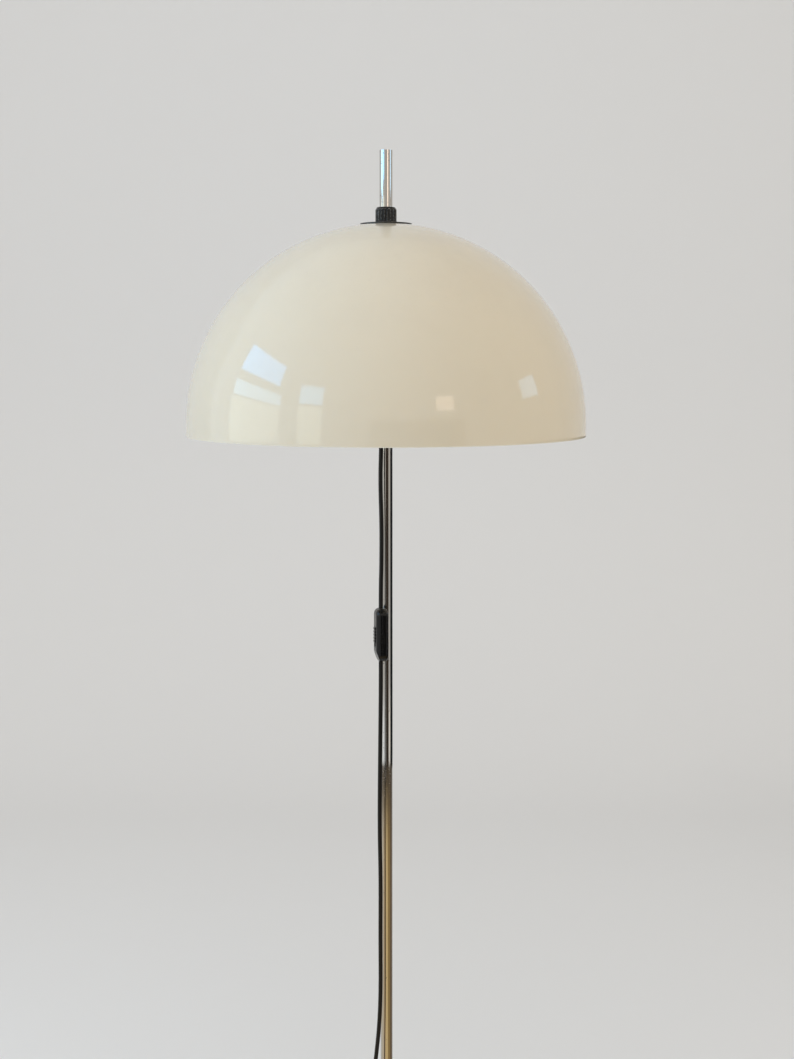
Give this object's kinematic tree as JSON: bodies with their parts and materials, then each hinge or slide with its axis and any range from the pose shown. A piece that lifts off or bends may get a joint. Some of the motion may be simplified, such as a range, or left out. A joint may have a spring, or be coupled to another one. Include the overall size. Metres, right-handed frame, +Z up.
{
  "type": "floor lamp",
  "caption": "Floor lamp with a large opal half-sphere shade that slides and turns on a slim chromed rod over a round foot, with a fluted clamp knob and an in-line cord switch.",
  "frame": {"origin": "centre of the foot's underside, on the floor, on the rod's axis", "axes": "+Z up along the rod; -Y is the front, where the cord hangs beside the rod; +X to the right seen from the front"},
  "size_m": [0.5, 0.5, 1.45],
  "materials": {
    "opal_acrylic": "glossy cream-white opal acrylic",
    "chrome": "polished chrome plating",
    "black_plastic": "satin black moulded plastic",
    "black_paint": "satin black painted steel",
    "white_paint": "white painted sheet steel",
    "zinc_steel": "zinc-plated steel",
    "brass": "plain brass",
    "cast_iron": "dark painted cast iron",
    "felt": "black felt",
    "black_rubber": "soft black rubber",
    "cord_sheath": "smooth black cord sheath",
    "core_wire": "insulated core wires",
    "nylon": "natural nylon",
    "black_phenolic": "glossy black moulding",
    "porcelain": "glazed white ceramic",
    "aluminium": "rolled aluminium",
    "opal_glass": "opal white glass"
  },
  "bodies": {
    "stand": {"base_felt": "felt", "base_weight": "cast_iron", "base_cover": "chrome", "foot_washer": "zinc_steel", "foot_bolt": "zinc_steel", "rod_foot_insert": "zinc_steel", "foot_collar": "chrome", "collar_screw": "zinc_steel", "rod": "chrome", "rod_top_plug": "chrome", "cord_lower": "cord_sheath", "cord_floor": "cord_sheath", "cord_coil": "cord_sheath", "cord_tie": "black_plastic", "plug_sleeve": "black_rubber", "plug_body": "black_rubber", "plug_pins": "brass"},
    "grip": {"split_collet": "brass", "cord_upper": "cord_sheath", "switch_front_shell": "black_plastic", "switch_back_shell": "black_plastic", "switch_contacts": "brass", "switch_leads": "core_wire", "switch_screws": "zinc_steel"},
    "head": {"hub_sleeve": "chrome", "guide_bush": "nylon", "hub_nuts": "zinc_steel", "shade": "opal_acrylic", "top_washer": "black_paint", "shade_gasket": "black_rubber", "junction_box": "white_paint", "junction_cover": "white_paint", "cover_screws": "zinc_steel", "cord_gland": "black_rubber", "terminal_block": "porcelain", "terminal_screws": "brass", "supply_leads": "core_wire", "holder_leads": "core_wire", "holder_nipples": "zinc_steel", "nipple_nuts": "zinc_steel", "left_holder_cap": "black_phenolic", "left_holder_core": "porcelain", "left_holder_contact": "brass", "left_holder_barrel": "black_phenolic", "left_thread_shell": "aluminium", "left_holder_ring": "black_phenolic", "left_bulb_cap": "aluminium", "left_bulb_glass": "opal_glass", "right_holder_cap": "black_phenolic", "right_holder_core": "porcelain", "right_holder_contact": "brass", "right_holder_barrel": "black_phenolic", "right_thread_shell": "aluminium", "right_holder_ring": "black_phenolic", "right_bulb_cap": "aluminium", "right_bulb_glass": "opal_glass"},
    "knob": {"clamp_knob": "black_plastic"},
    "thumb_slider": {"switch_slider": "black_plastic", "switch_bridge": "brass"}
  },
  "joints": [
    {"name": "head_slide", "type": "slide", "parent": "stand", "child": "grip", "axis": [0, 0, 1], "range_m": [-0.4, 0.05], "deforming": ["cord_lower"]},
    {"name": "head_swivel", "type": "hinge", "parent": "grip", "child": "head", "pos_m": [0, 0, 1.3], "axis": [0, 0, 1], "range_deg": [-150, 150]},
    {"name": "knob_turn", "type": "hinge", "parent": "head", "child": "knob", "pos_m": [0, 0, 1.3719], "axis": [0, 0, 1], "range_deg": [0, 270]},
    {"name": "switch_slide", "type": "slide", "parent": "grip", "child": "thumb_slider", "axis": [0, 0, -1], "range_m": [0, 0.0055]}
  ]
}
